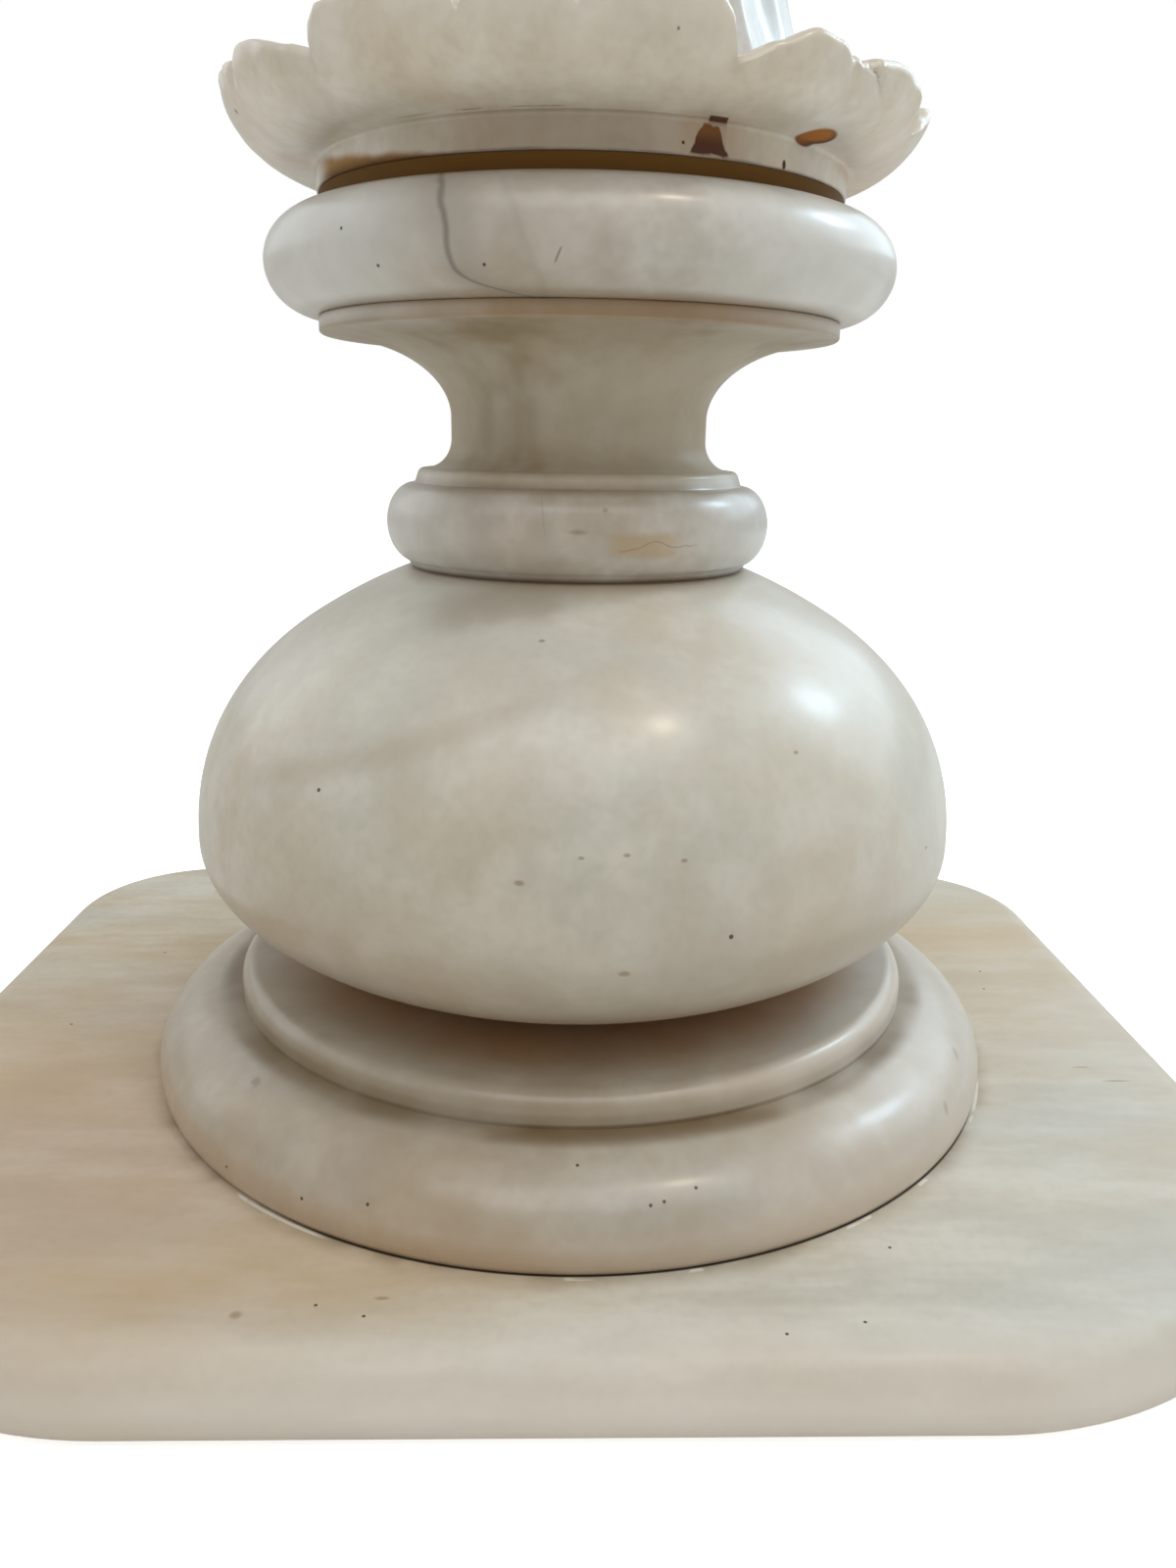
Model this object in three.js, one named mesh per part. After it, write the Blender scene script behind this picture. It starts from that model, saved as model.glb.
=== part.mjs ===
// Alabaster pedestal: a stack of turned and carved stone pieces on a thin slab.
// Millimetres, +Z up, origin at the middle of the underside of the plinth.
// Azimuths are measured from the front (-Y) towards +X.
import * as THREE from 'three';
import { mergeVertices } from 'three/addons/utils/BufferGeometryUtils.js';

// Overall
const TOTAL_HEIGHT = 760;
const TURNED_SIDES = 36;

// Slabs with round corners and a half-round edge; the stack stands a little off the middle of the plinth
const PLINTH = { width: 306, depth: 244, thick: 18, frontCorner: 78, backCorner: 40 };
const TOP_SLAB = { width: 260, depth: 208, thick: 18, frontCorner: 36, backCorner: 36 };
const STACK_OFFSET_X = 4.5;
const STACK_OFFSET_Y = 1;
const SLAB_CORNER_STEPS = 6;
const SLAB_EDGE_STEPS = 6;

// Base ring, heights from the top of the plinth
const RING_FOOT_RADIUS = 99.2;
const RING_RADIUS = 100;
const RING_BELLY = 4;
const RING_TOP = 18.2;
const DISC_RADIUS = 80.5;
const DISC_TOP = 25;
const DISC_ROUND = 4;

// Ball, heights from the top of the plinth: its widest circle and the half heights above and below it
const BALL_RADIUS = 87.8;
const BALL_MIDDLE = 57.2;
const BALL_UPPER = 63.4;
const BALL_LOWER = 36.8;
const BALL_FULLNESS = 2.16;
const BALL_TOP = 117;
const BALL_STEPS = 6;

// Stem, heights from its own underside
const STEM_FOOT_RADIUS = 34;
const COLLAR = { radius: 43.2, seat: 37, low: 1, middle: 9.4, top: 18 };
const COLLAR_FILLET = { radius: 36.2, top: 21.2, ease: 1 };
const WAIST = { radius: 28.5, height: 27.5, shoulder: 32, cove: 5.7 };
const RIM_FILLET = { radius: 56.2, low: 48.6, top: 51.9 };
const BIG_RING = { seat: 56, radius: 67, top: 72.3 };
const STEM_TOP = { radius: 55.3, height: 75.5 };

// Leaf cup, heights from the underside of its foot
const CUP_FOOT_RADIUS = 55.6;
const CUP_FOOT_TOP = 4.8;
const CUP_RADIUS = 73;
const CUP_SHOULDER = 18.5;
const CUP_FLOOR = 10.5;
const CUP_FLOOR_RADIUS = 59;
const LEAF_WALL = 5;
const LEAF_STEPS = 13;
const LEAF_FIRST_NOTCH = THREE.MathUtils.degToRad(-41);
const FRONT_LEAF_WIDTH = THREE.MathUtils.degToRad(63);
const FRONT_LEAF_TIP = 21.5;
const SIDE_LEAVES = 6;
const SIDE_LEAF_TIP = 19.5;
const LEAF_NOTCH = 12;
const LEAF_MID_DIP = 2;
const LEAF_RISE = 0.3;
const LEAF_LEVELS = 5;
const LEAF_LEVEL_EASE = 1.6;
const LEAF_INNER_DROP = 0.5;

// Shaft
const SHAFT_RADIUS = 36;
const SHAFT_NECK_RADIUS = 33.4;
const SHAFT_FOOT_FLARE = 17.5;
const SHAFT_FLARE_HEIGHT = 24;
const SHAFT_FLUTES = 18;
const SHAFT_FLUTE_DEPTH = 1.8;
const SHAFT_FLUTE_START = 26;
const SHAFT_PLAIN_NECK = 26;
const SHAFT_FLUTE_END = 20;
const SHAFT_FLUTE_STEPS = 4;
const SHAFT_FLARE_LEVELS = 4;

// Heights of the joints in the stack
const Z_RING = PLINTH.thick;
const Z_BALL = Z_RING + DISC_TOP;
const Z_STEM = Z_RING + BALL_TOP;
const Z_CUP = Z_STEM + STEM_TOP.height;
const Z_SHAFT = Z_CUP + CUP_FLOOR;
const Z_SLAB = TOTAL_HEIGHT - TOP_SLAB.thick;
const Z_CAPITAL = Z_SLAB - STEM_TOP.height;

const cream = new THREE.MeshStandardMaterial({ color: 0xcfc8b8, roughness: 0.35, metalness: 0 });
const ochre = new THREE.MeshStandardMaterial({ color: 0xc4b8a2, roughness: 0.4, metalness: 0 });
const white = new THREE.MeshStandardMaterial({ color: 0xd9d9d6, roughness: 0.32, metalness: 0 });

// Points of an elliptic arc in the (radius, height) plane, from and to in degrees, both ends included
function arc(centre, halfWidth, halfHeight, from, to, steps) {
  return Array.from({ length: steps + 1 }, (_, i) => {
    const angle = THREE.MathUtils.degToRad(THREE.MathUtils.lerp(from, to, i / steps));
    return [centre[0] + halfWidth * Math.cos(angle), centre[1] + halfHeight * Math.sin(angle)];
  });
}

// Closed solid of revolution about Z, from a profile that runs upwards on the outside
function turned(profile, baseHeight) {
  const bottom = profile[0][1];
  const top = profile[profile.length - 1][1];
  const points = [[0, bottom], ...profile, [0, top]].map(([r, z]) => new THREE.Vector2(r, z));
  const lathe = new THREE.LatheGeometry(points, TURNED_SIDES);
  lathe.deleteAttribute('normal');
  lathe.deleteAttribute('uv');
  lathe.rotateX(Math.PI / 2);
  lathe.translate(0, 0, baseHeight);
  return dropEmptyTriangles(mergeVertices(lathe, 1e-4));
}

// The lathe's end points fall together on the axis, and the triangles of no area there are left out
function dropEmptyTriangles(geometry) {
  const index = geometry.index.array;
  const kept = [];
  for (let i = 0; i < index.length; i += 3) {
    const [a, b, c] = [index[i], index[i + 1], index[i + 2]];
    if (a !== b && b !== c && c !== a) kept.push(a, b, c);
  }
  geometry.setIndex(kept);
  geometry.computeVertexNormals();
  return geometry;
}

// Closed solid from stacked rings of points with equal counts, each ring counter-clockwise from above
function stacked(rows) {
  const count = rows[0].length;
  const last = (rows.length - 1) * count;
  const lowMiddle = rows.length * count;
  const highMiddle = lowMiddle + 1;
  const middleOf = (row) => [0, 1, 2].map((k) => row.reduce((sum, point) => sum + point[k], 0) / count);
  const positions = [...rows.flat(2), ...middleOf(rows[0]), ...middleOf(rows[rows.length - 1])];
  const index = [];
  for (let i = 0; i < count; i += 1) {
    const next = (i + 1) % count;
    index.push(lowMiddle, next, i);
    index.push(highMiddle, last + i, last + next);
    for (let below = 0; below < last; below += count) {
      const above = below + count;
      index.push(below + i, below + next, above + next);
      index.push(below + i, above + next, above + i);
    }
  }
  const geometry = new THREE.BufferGeometry();
  geometry.setAttribute('position', new THREE.Float32BufferAttribute(positions, 3));
  geometry.setIndex(index);
  geometry.computeVertexNormals();
  return geometry;
}

// One point of a ring about Z at an azimuth from the front
function around(azimuth, radius, height) {
  return [radius * Math.sin(azimuth), -radius * Math.cos(azimuth), height];
}

// Slab with round corners and a half-round edge
function slab({ width, depth, thick, frontCorner, backCorner }, baseHeight) {
  const edge = thick / 2;
  const rows = [];
  for (let j = 0; j <= SLAB_EDGE_STEPS; j += 1) {
    const lift = Math.PI * (j / SLAB_EDGE_STEPS - 0.5);
    const inset = edge - edge * Math.cos(lift);
    const height = baseHeight + edge + edge * Math.sin(lift);
    const row = [];
    for (let quarter = 0; quarter < 4; quarter += 1) {
      const signX = quarter === 0 || quarter === 3 ? 1 : -1;
      const signY = quarter < 2 ? 1 : -1;
      const corner = quarter < 2 ? backCorner : frontCorner;
      const reach = corner - inset;
      for (let i = 0; i <= SLAB_CORNER_STEPS; i += 1) {
        const angle = (Math.PI / 2) * (quarter + i / SLAB_CORNER_STEPS);
        const x = signX * (width / 2 - corner) + reach * Math.cos(angle);
        const y = signY * (depth / 2 - corner) + reach * Math.sin(angle);
        row.push([x, y, height]);
      }
    }
    rows.push(row);
  }
  return stacked(rows);
}

// Base ring: quarter-round side, then a low disc with a round upper edge
function baseRingProfile() {
  return [
    [RING_FOOT_RADIUS, 0],
    ...arc([DISC_RADIUS, RING_BELLY], RING_RADIUS - DISC_RADIUS, RING_TOP - RING_BELLY, 0, 90, 6),
    ...arc([DISC_RADIUS - DISC_ROUND, DISC_TOP - DISC_ROUND], DISC_ROUND, DISC_ROUND, 0, 90, 3),
  ];
}

// Ball: half an ellipse below its widest circle, a slightly fuller curve above it, cut flat at both joints
function ballProfile() {
  const contact = (BALL_MIDDLE - DISC_TOP) / BALL_LOWER;
  const lowest = -THREE.MathUtils.radToDeg(Math.asin(contact));
  const lower = arc([0, BALL_MIDDLE], BALL_RADIUS, BALL_LOWER, lowest, 0, BALL_STEPS);
  const reach = (BALL_TOP - BALL_MIDDLE) / BALL_UPPER;
  const highest = Math.asin(reach ** (BALL_FULLNESS / 2));
  const upper = Array.from({ length: BALL_STEPS }, (_, i) => {
    const angle = (highest * (i + 1)) / BALL_STEPS;
    const radius = BALL_RADIUS * Math.cos(angle) ** (2 / BALL_FULLNESS);
    const height = BALL_MIDDLE + BALL_UPPER * Math.sin(angle) ** (2 / BALL_FULLNESS);
    return [radius, height];
  });
  return [...lower, ...upper].map(([radius, height]) => [radius, height - DISC_TOP]);
}

// Stem: collar, fillet, deep hollow, fillet, big ring and a low fillet to carry the next piece
function stemProfile() {
  const hollowWidth = RIM_FILLET.radius - WAIST.radius;
  const hollowHeight = RIM_FILLET.low - WAIST.shoulder;
  const coveHeight = WAIST.height - COLLAR_FILLET.top;
  const ringMiddle = (RIM_FILLET.top + BIG_RING.top) / 2;
  const ringHalf = (BIG_RING.top - RIM_FILLET.top) / 2;
  return [
    [STEM_FOOT_RADIUS, 0],
    [COLLAR.seat, COLLAR.low],
    ...arc([COLLAR.seat, COLLAR.middle], COLLAR.radius - COLLAR.seat, COLLAR.top - COLLAR.middle, -70, 80, 4),
    [COLLAR_FILLET.radius, COLLAR.top],
    [COLLAR_FILLET.radius, COLLAR_FILLET.top - COLLAR_FILLET.ease],
    [COLLAR_FILLET.radius - COLLAR_FILLET.ease, COLLAR_FILLET.top],
    ...arc([WAIST.radius + WAIST.cove, WAIST.height], WAIST.cove, coveHeight, 270, 180, 2),
    ...arc([RIM_FILLET.radius, WAIST.shoulder], hollowWidth, hollowHeight, 180, 96, 5),
    [RIM_FILLET.radius, RIM_FILLET.low],
    [RIM_FILLET.radius, RIM_FILLET.top],
    ...arc([BIG_RING.seat, ringMiddle], BIG_RING.radius - BIG_RING.seat, ringHalf, -75, 75, 5),
    [STEM_TOP.radius, BIG_RING.top],
    [STEM_TOP.radius, STEM_TOP.height],
  ];
}

// Rim height at a share of a leaf's width: deep notches at its ends, and a small dip in its middle
function leafRim(along, tip) {
  const side = Math.abs(2 * along - 1);
  const rise = Math.min(1, (1 - side) / LEAF_RISE);
  const dip = LEAF_MID_DIP * Math.max(0, 1 - side / LEAF_RISE);
  return LEAF_NOTCH + (tip - LEAF_NOTCH) * Math.sin((rise * Math.PI) / 2) - dip;
}

// Azimuths and rim heights around the cup: the wide front leaf first, then the equal side leaves
function leafColumns() {
  const sideWidth = (2 * Math.PI - FRONT_LEAF_WIDTH) / SIDE_LEAVES;
  const sideLeaf = { width: sideWidth, tip: SIDE_LEAF_TIP };
  const leaves = [{ width: FRONT_LEAF_WIDTH, tip: FRONT_LEAF_TIP }, ...Array(SIDE_LEAVES).fill(sideLeaf)];
  const columns = [];
  let notch = LEAF_FIRST_NOTCH;
  for (const { width, tip } of leaves) {
    for (let i = 0; i < LEAF_STEPS; i += 1) {
      const along = i / LEAF_STEPS;
      columns.push({ azimuth: notch + width * along, rim: leafRim(along, tip) });
    }
    notch += width;
  }
  return columns;
}

// Outer radius of the cup at a height: a quarter ellipse, upright above its shoulder
function bowlRadius(height) {
  const below = Math.max(0, CUP_SHOULDER - height) / (CUP_SHOULDER - CUP_FOOT_TOP);
  return CUP_FOOT_RADIUS + (CUP_RADIUS - CUP_FOOT_RADIUS) * Math.sqrt(Math.max(0, 1 - below * below));
}

// Leaf cup: round foot, bowl, scalloped rim, and a flat floor that the shaft stands on
function leafCup(baseHeight) {
  const columns = leafColumns();
  const row = (section) => columns.map(({ azimuth, rim }) => {
    const [radius, height] = section(rim);
    return around(azimuth, radius, baseHeight + height);
  });
  const rows = [row(() => [CUP_FOOT_RADIUS, 0])];
  for (let j = 0; j <= LEAF_LEVELS; j += 1) {
    const share = (j / LEAF_LEVELS) ** LEAF_LEVEL_EASE;
    rows.push(row((rim) => {
      const height = THREE.MathUtils.lerp(CUP_FOOT_TOP, rim, share);
      return [bowlRadius(height), height];
    }));
  }
  const innerRim = (rim) => [bowlRadius(rim) - LEAF_WALL, rim - LEAF_INNER_DROP];
  rows.push(row(innerRim));
  rows.push(row((rim) => {
    const [radius, height] = innerRim(rim);
    return [(radius + CUP_FLOOR_RADIUS) / 2, (height + CUP_FLOOR) / 2];
  }));
  rows.push(row(() => [CUP_FLOOR_RADIUS, CUP_FLOOR]));
  return stacked(rows);
}

// Shaft: round flared foot, slight taper, shallow flutes that run out below a plain neck
function shaft(baseHeight, topHeight) {
  const length = topHeight - baseHeight;
  const flutesEnd = length - SHAFT_PLAIN_NECK;
  const flareTop = 2 * SHAFT_FLUTE_START;
  const flare = Array.from({ length: SHAFT_FLARE_LEVELS + 1 }, (_, i) => (flareTop * i) / SHAFT_FLARE_LEVELS);
  const levels = [...flare, 2 * flareTop, flutesEnd - SHAFT_FLUTE_END, flutesEnd, length];
  const count = SHAFT_FLUTES * SHAFT_FLUTE_STEPS;
  return stacked(levels.map((height) => {
    const taper = THREE.MathUtils.lerp(SHAFT_RADIUS, SHAFT_NECK_RADIUS, height / length);
    const round = taper + SHAFT_FOOT_FLARE * Math.exp(-height / SHAFT_FLARE_HEIGHT);
    const runOut = Math.max(0, (flutesEnd - height) / SHAFT_FLUTE_END);
    const depth = SHAFT_FLUTE_DEPTH * Math.min(1, height / SHAFT_FLUTE_START, runOut);
    return Array.from({ length: count }, (_, i) => {
      const azimuth = (2 * Math.PI * i) / count;
      const hollow = (1 - Math.cos(SHAFT_FLUTES * azimuth)) / 2;
      return around(azimuth, round - depth * hollow, baseHeight + height);
    });
  }));
}

const pedestal = new THREE.Group();
const stack = new THREE.Group();
stack.position.set(STACK_OFFSET_X, STACK_OFFSET_Y, 0);
pedestal.add(stack);

function add(group, name, geometry, material) {
  const mesh = new THREE.Mesh(geometry, material);
  mesh.name = name;
  group.add(mesh);
}

add(pedestal, 'plinth', slab(PLINTH, 0), ochre);
add(stack, 'base_ring', turned(baseRingProfile(), Z_RING), cream);
add(stack, 'ball', turned(ballProfile(), Z_BALL), cream);
add(stack, 'stem', turned(stemProfile(), Z_STEM), cream);
add(stack, 'leaf_cup', leafCup(Z_CUP), cream);
add(stack, 'shaft', shaft(Z_SHAFT, Z_CAPITAL), white);
add(stack, 'capital', turned(stemProfile(), Z_CAPITAL), cream);
add(stack, 'top_slab', slab(TOP_SLAB, Z_SLAB), ochre);

export default pedestal;
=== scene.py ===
"""Alabaster pedestal: smooth turned and carved stone, with its veins, pits, dirt and glue stains, and
some painted light and shade in its colour.
"""

import math

import bmesh
import bpy
from mathutils import Matrix, Vector


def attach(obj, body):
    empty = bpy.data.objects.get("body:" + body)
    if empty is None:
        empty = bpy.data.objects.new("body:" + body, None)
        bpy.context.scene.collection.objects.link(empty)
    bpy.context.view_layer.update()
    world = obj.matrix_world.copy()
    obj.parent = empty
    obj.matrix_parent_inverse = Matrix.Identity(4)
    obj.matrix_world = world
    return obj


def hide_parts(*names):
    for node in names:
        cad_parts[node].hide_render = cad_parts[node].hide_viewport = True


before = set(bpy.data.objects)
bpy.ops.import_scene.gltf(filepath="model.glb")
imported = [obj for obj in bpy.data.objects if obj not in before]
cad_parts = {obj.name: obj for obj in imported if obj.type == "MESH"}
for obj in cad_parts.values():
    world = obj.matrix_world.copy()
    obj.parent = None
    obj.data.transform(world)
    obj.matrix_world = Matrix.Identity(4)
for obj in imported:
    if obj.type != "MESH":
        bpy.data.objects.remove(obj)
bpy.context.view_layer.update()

# Shapes and spots are in millimetres and degrees, azimuths from the front towards +X.
# Other distances in the finishes are in metres, and other angles there in radians.
MM = 0.001
TURNED_SIDES = 192
TURNED_SMOOTH = 32
STACK_AT = Vector((4.5, 1, 0)) * MM

# Undersides of the pieces above the floor
Z_RING = 18.0
Z_BALL = 43.0
Z_STEM = 135.0
Z_CUP = 210.5
Z_SHAFT = 221.0
Z_CAPITAL = 666.5
Z_SLAB = 742.0


# Shaping

def begin(name, add, **size):
    """A primitive on its own at its size and place, in edit mode with all of it selected."""
    bpy.ops.object.select_all(action="DESELECT")
    add(**size)
    piece = bpy.context.object
    piece.name = name
    piece.data.name = name
    bpy.ops.object.transform_apply(location=True, rotation=True, scale=True)
    bpy.ops.object.mode_set(mode="EDIT")
    bpy.ops.mesh.select_all(action="SELECT")
    return piece


def smooth(piece, angle):
    """Back to object mode, with smooth shading up to an angle."""
    bpy.ops.object.mode_set(mode="OBJECT")
    bpy.ops.object.shade_smooth_by_angle(angle=math.radians(angle))
    return piece


def stacked(piece, angle):
    """Moves a piece made about the origin to the stack's place on the plinth and smooths it."""
    bpy.ops.mesh.select_all(action="SELECT")
    bpy.ops.transform.translate(value=STACK_AT)
    bpy.ops.mesh.normals_make_consistent(inside=False)
    return smooth(piece, angle)


def pull(rise, widen):
    """Draws the selected round face up by a height and widens it."""
    bpy.ops.mesh.extrude_region_move(TRANSFORM_OT_translate={"value": (0, 0, rise)})
    bpy.ops.transform.resize(value=(widen, widen, 1), center_override=(0, 0, 0))


def turned(name, profile):
    """A round piece drawn up from its underside, ring by ring along its profile."""
    radius, height = profile[0]
    piece = begin(
        name, bpy.ops.mesh.primitive_circle_add, vertices=TURNED_SIDES, radius=radius * MM,
        fill_type="NGON", location=(0, 0, height * MM),
    )
    for next_radius, next_height in profile[1:]:
        pull((next_height - height) * MM, next_radius / radius)
        radius, height = next_radius, next_height
    return stacked(piece, TURNED_SMOOTH)


def shaped(name, sides, rows, place, angle):
    """A tube of equal rows, drawn up and then moved row by row to the shape that place gives."""
    piece = begin(
        name, bpy.ops.mesh.primitive_circle_add, vertices=sides, radius=1, fill_type="NGON"
    )
    for _ in range(rows - 1):
        pull(1, 1)
    bpy.ops.object.mode_set(mode="OBJECT")
    for vertex in piece.data.vertices:
        azimuth = math.degrees(math.atan2(vertex.co.x, -vertex.co.y))
        radius, height = place(azimuth, round(vertex.co.z))
        turn = math.radians(azimuth)
        vertex.co = Vector((radius * math.sin(turn), -radius * math.cos(turn), height)) * MM
    bpy.ops.object.mode_set(mode="EDIT")
    return stacked(piece, angle)


def pick_edges(piece, wanted):
    """Selects the edges whose direction and middle suit."""
    bpy.ops.mesh.select_mode(type="EDGE")
    bpy.ops.mesh.select_all(action="DESELECT")
    mesh = bmesh.from_edit_mesh(piece.data)
    for edge in mesh.edges:
        low, high = (vertex.co for vertex in edge.verts)
        if wanted((high - low).normalized(), (high + low) / 2):
            edge.select_set(True)
    bmesh.update_edit_mesh(piece.data)


def round_over(offset, segments):
    """Takes the selected edges round."""
    bpy.ops.mesh.bevel(offset=offset, offset_type="OFFSET", segments=segments, affect="EDGES")


def slab(name, at, width, depth, thick, front_corner, back_corner):
    """A block with round corners and a nearly half-round edge, its underside at a place."""
    base = at.z
    half = thick / 2 * MM
    edge_share = 0.985
    same = 1e-6
    piece = begin(
        name, bpy.ops.mesh.primitive_cube_add, size=1,
        location=at + Vector((0, 0, thick / 2 * MM)), scale=(width * MM, depth * MM, thick * MM),
    )
    pick_edges(piece, lambda along, middle: abs(along.z) > 0.9 and middle.y < 0)
    round_over(front_corner * MM, 32)
    pick_edges(piece, lambda along, middle: abs(along.z) > 0.9 and middle.y > depth * 0.45 * MM)
    round_over(back_corner * MM, 24)
    pick_edges(piece, lambda along, middle: abs(abs(middle.z - base - half) - half) < same)
    round_over(half * edge_share, 12)
    bpy.ops.mesh.select_all(action="SELECT")
    bpy.ops.mesh.remove_doubles(threshold=same)
    bpy.ops.mesh.normals_make_consistent(inside=False)
    return smooth(piece, 40)


def arc(centre, wide, high, start, end, steps):
    """Points of an elliptic arc in the plane of radius and height, both ends included."""
    points = []
    for i in range(steps + 1):
        turn = math.radians(start + (end - start) * i / steps)
        points.append((centre[0] + wide * math.cos(turn), centre[1] + high * math.sin(turn)))
    return points


def eased(before, corner, after, ease, steps=4):
    """Points that take a corner of a profile round."""
    corner = Vector(corner)
    start = corner + (Vector(before) - corner).normalized() * ease
    end = corner + (Vector(after) - corner).normalized() * ease
    points = []
    for i in range(steps + 1):
        t = i / steps
        points.append(tuple(start * (1 - t) ** 2 + corner * 2 * t * (1 - t) + end * t * t))
    return points


def lifted(profile, base):
    """A profile measured from its own underside, moved up to its place."""
    return [(radius, height + base) for radius, height in profile]


# Base ring: quarter-round side, then a low disc with a round upper edge
BASE_RING = lifted(
    [(98.9, 0), (99.4, 0.4), (99.8, 1.5), (99.95, 2.8)]
    + arc((80.5, 4), 19.5, 14.2, 0, 90, 30)
    + [(80.5, 18.9), (80.5, 20.4)]
    + arc((76.5, 21), 4, 4, 0, 90, 10),
    Z_RING,
)


def ball_profile():
    """An ellipse below the widest circle and a slightly fuller curve above it, raised round the top."""
    radius, middle, upper, lower, fullness = 87.8, 57.2, 63.4, 36.8, 2.16
    raised, raised_from = 1.6, 0.72
    bottom, top = Z_BALL - Z_RING, Z_STEM - Z_RING
    lowest = -math.degrees(math.asin((middle - bottom) / lower))
    points = arc((0, middle), radius, lower, lowest, 0, 26)
    highest = math.asin(((top - middle) / upper) ** (fullness / 2))
    steps = 36
    for i in range(1, steps + 1):
        turn = highest * i / steps
        near_top = max(0.0, (i / steps - raised_from) / (1 - raised_from)) ** 1.5
        points.append((
            radius * math.cos(turn) ** (2 / fullness),
            middle + upper * math.sin(turn) ** (2 / fullness) + raised * near_top,
        ))
    return lifted(points, Z_RING)


# Underside of the lower stem, bedded on the round of the ball, and of the flat-bedded capital
BEDDED_FOOT = [(34.8, -0.4), (37.2, -0.6), (37.9, -0.1), (38.3, 0.5)]
FLAT_FOOT = [(34.2, 0), (35.6, 0.35), (37.6, 0.85)]


def stem_profile(base, foot):
    """Collar, fillet, deep hollow, fillet, big ring and a low fillet on top."""
    return lifted(
        foot
        + arc((37, 9.4), 6.2, 8.6, -74, 84, 24)
        + [(37, 18), (36.7, 18.4)]
        + eased((36.7, 18.4), (35.8, 21.2), (33, 21.2), 1.2)
        + arc((34.2, 27.5), 5.7, 6.3, 268, 180, 12)
        + arc((56.2, 32), 27.7, 16.6, 178, 96, 26)
        + eased((54.4, 48.6), (56.3, 48.6), (56.3, 51.9), 0.7)
        + eased((56.3, 48.6), (56.3, 51.9), (54, 51.9), 0.5)
        + arc((56, 62.1), 11, 10.2, -86, 84, 34)
        + [(55.3, 72.4), (55.3, 75.5)],
        base,
    )


# Leaf cup: a round foot, a bowl and seven leaves, the front one wider; heights are from its underside
CUP_SIDES = 720
CUP_FOOT = 55.6
CUP_FOOT_TOP = 4.8
CUP_FOOT_LIFT = 1.4
CUP_FOOT_STEP = 0.5
CUP_LIP = 73.0
CUP_NARROW = 1.8
CUP_SHOULDER = 18.5
CUP_ROUND = 2.1
CUP_FLOOR = 10.5
CUP_FLOOR_RADIUS = 57.5
FIRST_NOTCH = -41.0
FRONT_WIDTH = 61.0
LEAF_WIDTH = (360 - FRONT_WIDTH) / 6  # six side leaves
LEAF_TIP = 21.5
LEAF_EDGE = 4.0
LEAF_TAPER = 0.85
RIM_ROUND = 1.6

# Carving of the leaves' outsides, which fades out below the rim
CARVING_REACH = 9.5
CREASE_WIDTH = 0.8
NOTCH_WIDTH = 1.6
NOTCH_DEPTH = 0.7
LEAF_SWELL = 0.8
LEAF_FLUTE = 0.34

# Each leaf, from its left notch: rim as (angle, height), creases as (angle, slant, depth, reach)
FRONT_LEAF = {
    "rim": [
        (0, 15), (0.5, 17.5), (1, 19.2), (1.5, 19.6), (2.6, 21.2), (6, 21.5), (13, 21), (19, 20),
        (23.6, 19.4), (24.3, 16.8), (25, 19.3), (31, 19.5), (38.5, 19.2), (39.3, 17.8), (40.1, 19.3),
        (47, 20.2), (53, 20.6), (57.5, 20.3), (59.2, 18.6), (60.2, 15.5), (61, 12.8),
    ],
    "creases": [(24.3, 0, 0.5, 4), (39.3, 0, 0.5, 4)],
}
RIGHT_LEAF = {
    "rim": [
        (0, 12.8), (1, 13.1), (5.9, 15.5), (11.6, 18.1), (16, 17.3), (18.2, 15.6), (19.6, 16), (21, 15.3),
        (25, 16.6), (29.8, 17.4), (34, 17.5), (38.5, 16.6), (44, 14.4), (47.5, 12.6), (49.5, 12),
    ],
    "creases": [(18.2, 0.5, 0.9, 7), (21, 1.35, 1.3, 9)],
}
LEFT_LEAF = {
    "rim": [
        (0, 12), (5, 15), (11, 18.2), (16.5, 19.3), (20.5, 19.6), (27.3, 18.7), (28.7, 16.8),
        (29.5, 18.9), (31.5, 20), (34.7, 19.8), (44.9, 16.9), (49.5, 15),
    ],
    "creases": [(28.7, -0.4, 0.9, 6)],
}
SIDE_LEAVES = [RIGHT_LEAF, LEFT_LEAF] * 3
CUP_FOOT_ROWS = 5
CUP_BOWL_ROWS = 26
CUP_RIM_ROWS = 7
CUP_INSIDE_ROWS = 9
CUP_ROWS = CUP_FOOT_ROWS + CUP_BOWL_ROWS + CUP_RIM_ROWS + CUP_INSIDE_ROWS


def leaf_at(azimuth):
    """The leaf at an azimuth, the angle along it and its width."""
    along = (azimuth - FIRST_NOTCH) % 360
    if along < FRONT_WIDTH:
        return FRONT_LEAF, along, FRONT_WIDTH
    count, along = divmod(along - FRONT_WIDTH, LEAF_WIDTH)
    return SIDE_LEAVES[int(count)], along, LEAF_WIDTH


def soft_steps(points, at):
    """A height between the points, eased at each."""
    for (a, low), (b, high) in zip(points, points[1:]):
        if at <= b:
            t = (at - a) / (b - a)
            t = 0.45 * t + 0.55 * t * t * (3 - 2 * t)
            return low + (high - low) * t
    return points[-1][1]


def leaf_rim(azimuth):
    """The height of the rim at an azimuth."""
    leaf, along, _ = leaf_at(azimuth)
    return soft_steps(leaf["rim"], along)


def foot_top(azimuth):
    """The foot is a little taller at the front."""
    return CUP_FOOT_TOP + CUP_FOOT_LIFT * math.cos(math.radians(azimuth))


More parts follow.
